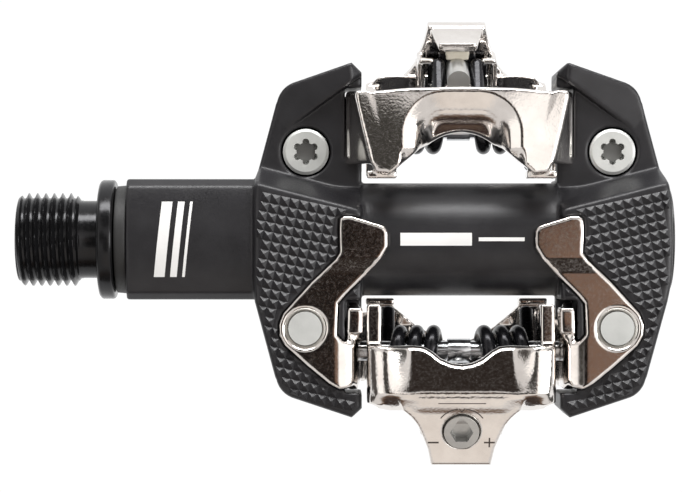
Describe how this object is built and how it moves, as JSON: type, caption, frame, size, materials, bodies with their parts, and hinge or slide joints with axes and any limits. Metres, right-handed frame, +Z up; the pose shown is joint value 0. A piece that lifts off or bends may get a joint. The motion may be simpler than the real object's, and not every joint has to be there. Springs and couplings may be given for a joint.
{
  "type": "clipless pedal",
  "caption": "Double-sided clipless bicycle pedal with steel claws, sprung rear claws, a knurled body and a threaded spindle.",
  "frame": {"origin": "on the spindle axis, in the plane of the flange face that stops against the crank", "axes": "+X outwards along the spindle, away from the crank; +Y forwards; +Z up, out of the top face"},
  "size_m": [0.0983, 0.0672, 0.0252],
  "materials": {
    "spindle_black": "black plated, glossy",
    "body_black": "forged and machined, satin black anodised",
    "chrome": "polished and plated spring steel",
    "zinc": "zinc-plated steel",
    "screw_steel": "satin alloy steel",
    "spring_black": "black oxide, oiled",
    "bearing_steel": "ground bearing steel",
    "cap_black": "moulded, satin",
    "nut_cream": "passivated steel",
    "rubber": "black nitrile rubber"
  },
  "bodies": {
    "spindle": {"spindle": "spindle_black", "spindle_locknut": "zinc", "bearing_inner_rings": "bearing_steel", "bearing_spacer": "zinc"},
    "needle_set": {"needle_rollers": "bearing_steel"},
    "ball_set": {"bearing_balls": "bearing_steel"},
    "pedal_body": {"pedal_body": "body_black", "end_cap": "cap_black", "end_cap_o_ring": "rubber", "inner_seal": "rubber", "needle_shell": "bearing_steel", "bearing_outer_rings": "bearing_steel", "front_claw_frame": "chrome", "rear_claw_frame": "chrome", "front_frame_screws": "zinc", "rear_frame_screws": "zinc", "front_pivot_pin": "bearing_steel", "rear_pivot_pin": "bearing_steel", "front_spring_sleeve": "zinc", "rear_spring_sleeve": "zinc", "front_springs": "spring_black", "rear_springs": "spring_black"},
    "top_claw": {"top_claw": "chrome"},
    "bottom_claw": {"bottom_claw": "chrome"},
    "top_tension_screw": {"top_tension_screw": "screw_steel"},
    "bottom_tension_screw": {"bottom_tension_screw": "screw_steel"},
    "top_tension_plate": {"top_tension_plate": "nut_cream"},
    "bottom_tension_plate": {"bottom_tension_plate": "nut_cream"}
  },
  "joints": [
    {"name": "pedal_spin", "type": "hinge", "parent": "spindle", "child": "pedal_body", "pos_m": [0.074, 0, 0], "axis": [1, 0, 0], "continuous": true},
    {"name": "needle_spin", "type": "hinge", "parent": "spindle", "child": "needle_set", "pos_m": [0.012, 0, 0], "axis": [1, 0, 0], "continuous": true},
    {"name": "ball_spin", "type": "hinge", "parent": "spindle", "child": "ball_set", "pos_m": [0.075, 0, 0], "axis": [1, 0, 0], "continuous": true},
    {"name": "top_claw_open", "type": "hinge", "parent": "pedal_body", "child": "top_claw", "pos_m": [0.0542, -0.0168, 0.001], "axis": [1, 0, 0], "range_deg": [0, 14], "stiffness_Nm_per_rad": 14, "deforming": ["rear_springs"]},
    {"name": "top_tension_turn", "type": "hinge", "parent": "top_claw", "child": "top_tension_screw", "pos_m": [0.0542, -0.0284, 0.0097], "axis": [0, -0.3907, 0.9205], "range_deg": [-720, 720]},
    {"name": "top_plate_slide", "type": "slide", "parent": "top_claw", "child": "top_tension_plate", "axis": [0, -0.3907, 0.9205], "range_m": [-0.00139, 0.00139]},
    {"name": "bottom_claw_open", "type": "hinge", "parent": "pedal_body", "child": "bottom_claw", "pos_m": [0.0542, 0.0168, -0.001], "axis": [1, 0, 0], "range_deg": [0, 14], "stiffness_Nm_per_rad": 14, "deforming": ["front_springs"]},
    {"name": "bottom_tension_turn", "type": "hinge", "parent": "bottom_claw", "child": "bottom_tension_screw", "pos_m": [0.0542, 0.0284, -0.0097], "axis": [0, 0.3907, -0.9205], "range_deg": [-720, 720]},
    {"name": "bottom_plate_slide", "type": "slide", "parent": "bottom_claw", "child": "bottom_tension_plate", "axis": [0, 0.3907, -0.9205], "range_m": [-0.00139, 0.00139]}
  ],
  "couplings": [
    {"joint": "needle_spin", "follows": "pedal_spin", "ratio": 0.5642},
    {"joint": "ball_spin", "follows": "pedal_spin", "ratio": 0.5926},
    {"joint": "top_tension_turn", "follows": "top_plate_slide", "rad_per_m": -8976},
    {"joint": "bottom_tension_turn", "follows": "bottom_plate_slide", "rad_per_m": -8976}
  ]
}
